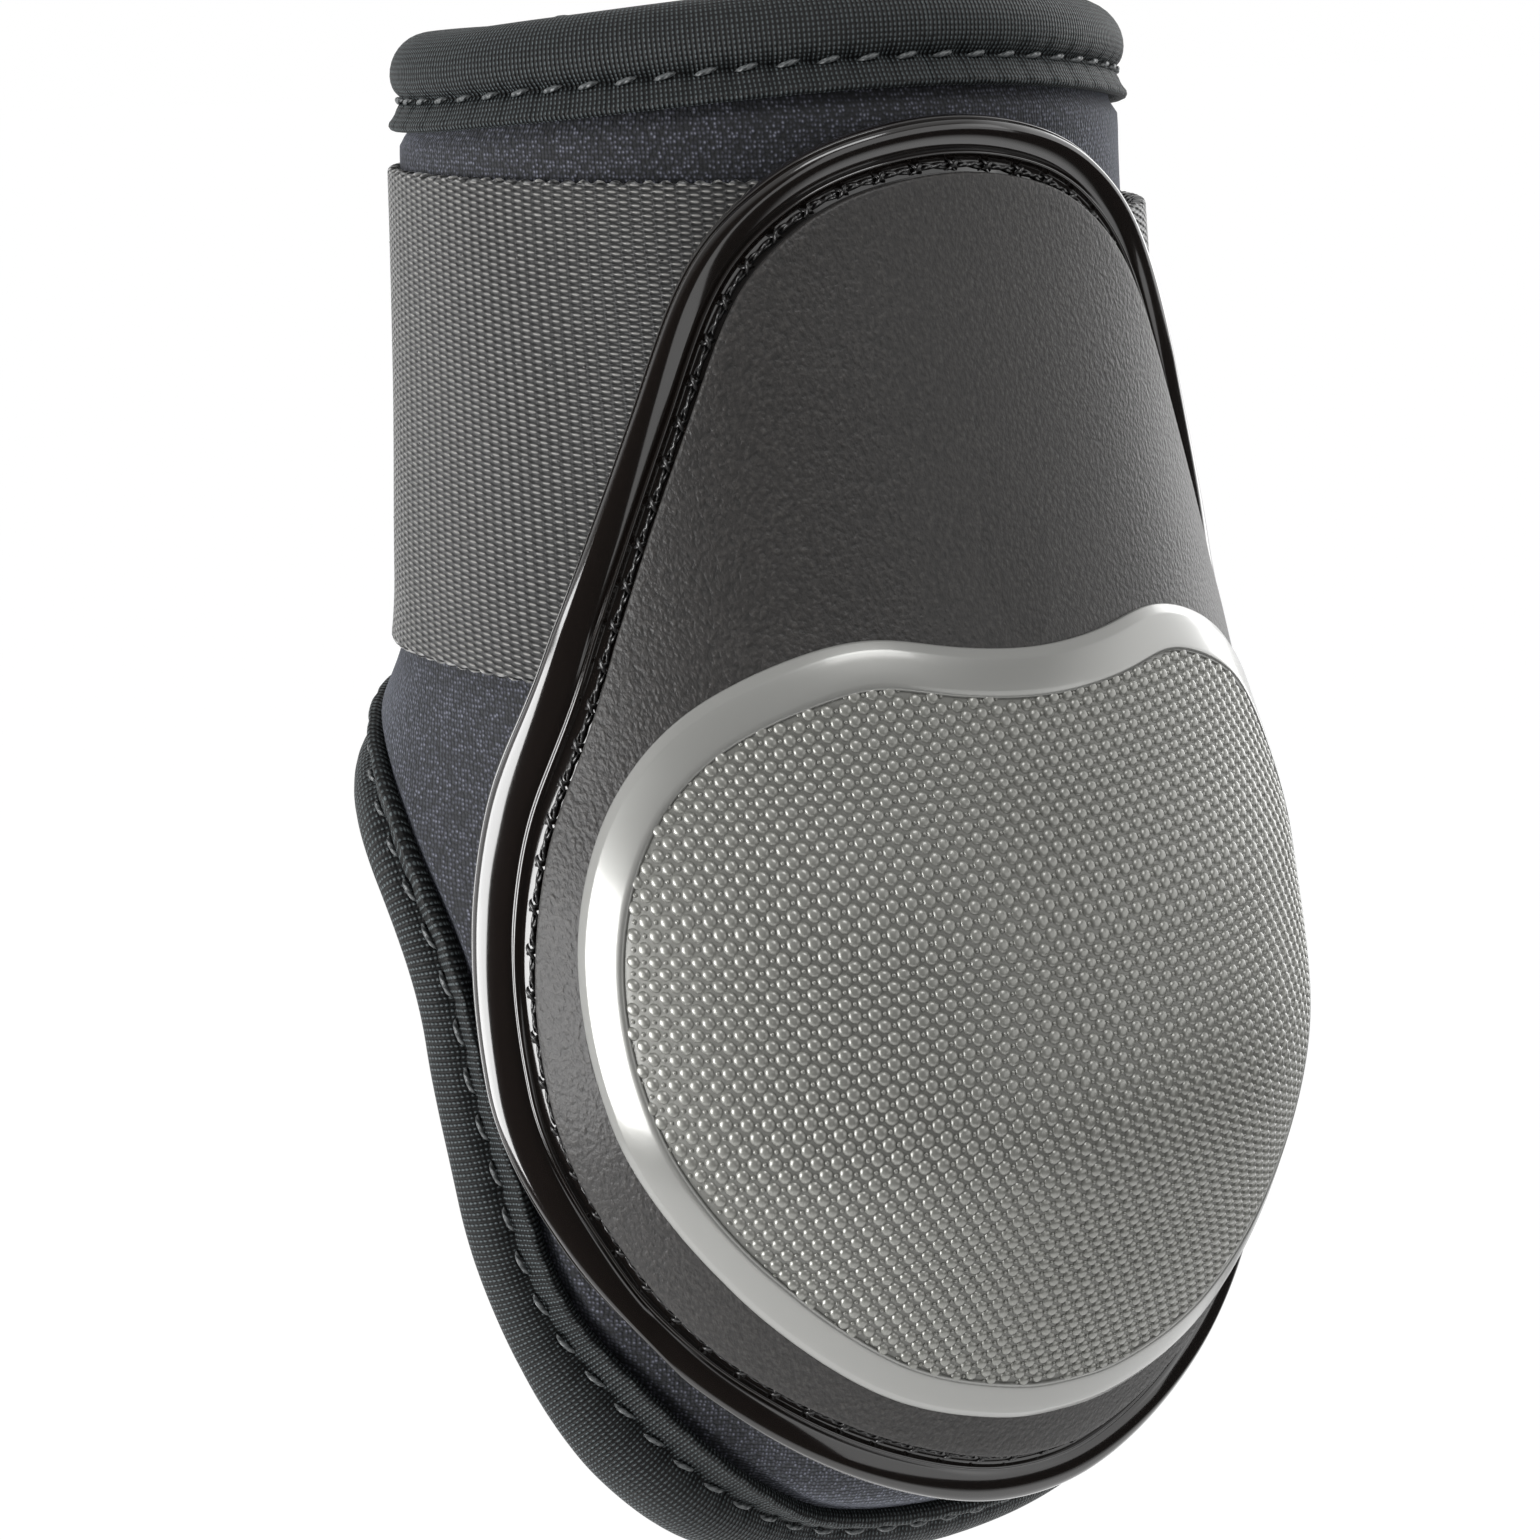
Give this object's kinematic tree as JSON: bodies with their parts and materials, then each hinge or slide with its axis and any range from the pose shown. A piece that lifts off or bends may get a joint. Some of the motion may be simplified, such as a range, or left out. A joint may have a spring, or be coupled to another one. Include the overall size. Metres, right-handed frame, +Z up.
{
  "type": "fetlock boot",
  "caption": "Horse's hind fetlock boot: a moulded rear strike shell with a metallic ring and domed insert on a bound neoprene wrap that opens in two wings, with a wide closing strap.",
  "frame": {"origin": "on the leg's axis, level with the middle of the landing band", "axes": "+Z up the leg, -Y towards the rear where the shell faces, +X towards the side that the closing strap starts from"},
  "size_m": [0.097, 0.1033, 0.1606],
  "materials": {
    "shell": "glossy black moulded polyurethane",
    "foam": "plain impact foam, hidden",
    "panel": "dark grey fine-grained polyurethane",
    "bezel": "satin silver-coated polyurethane",
    "insert": "warm grey with glossy raised domes",
    "neoprene": "near-black knit-faced neoprene",
    "lining": "brushed dark grey loop lining",
    "binding": "black ribbed stretch tape",
    "thread": "black bonded thread",
    "webbing": "grey woven webbing",
    "backing": "soft black backing",
    "hook": "black hook tape"
  },
  "bodies": {
    "shell": {"shell_base": "shell", "impact_pad": "foam", "shell_panel": "panel", "strike_bezel": "bezel", "strike_insert": "insert", "shell_stitching": "thread", "neoprene_back": "neoprene", "lining_back": "lining", "top_binding_back": "binding", "lower_binding_back": "binding", "top_stitching_back": "thread", "lower_stitching_back": "thread", "landing_band_rear": "webbing", "strap_root": "webbing"},
    "left_wing": {"neoprene_left": "neoprene", "lining_left": "lining", "edge_binding_left": "binding", "edge_stitching_left": "thread", "landing_band_front": "webbing"},
    "right_wing": {"neoprene_right": "neoprene", "lining_right": "lining", "edge_binding_right": "binding", "edge_stitching_right": "thread"},
    "closing_strap": {"strap_webbing": "webbing", "strap_backing": "backing", "hook_patch": "hook", "strap_tip_binding": "binding"}
  },
  "joints": [
    {"name": "right_wing_open", "type": "hinge", "parent": "shell", "child": "right_wing", "pos_m": [0.04725, -0.00399, 0], "axis": [0, 0, -1], "range_deg": [0, 50]},
    {"name": "strap_open", "type": "hinge", "parent": "right_wing", "child": "closing_strap", "pos_m": [0.04725, -0.00399, 0], "axis": [0, 0, -1], "range_deg": [0, 120]},
    {"name": "left_wing_open", "type": "hinge", "parent": "shell", "child": "left_wing", "pos_m": [-0.04725, -0.00399, 0], "axis": [0, 0, 1], "range_deg": [0, 50]}
  ],
  "couplings": [
    {"joint": "left_wing_open", "follows": "strap_open", "ratio": 0.4166}
  ]
}
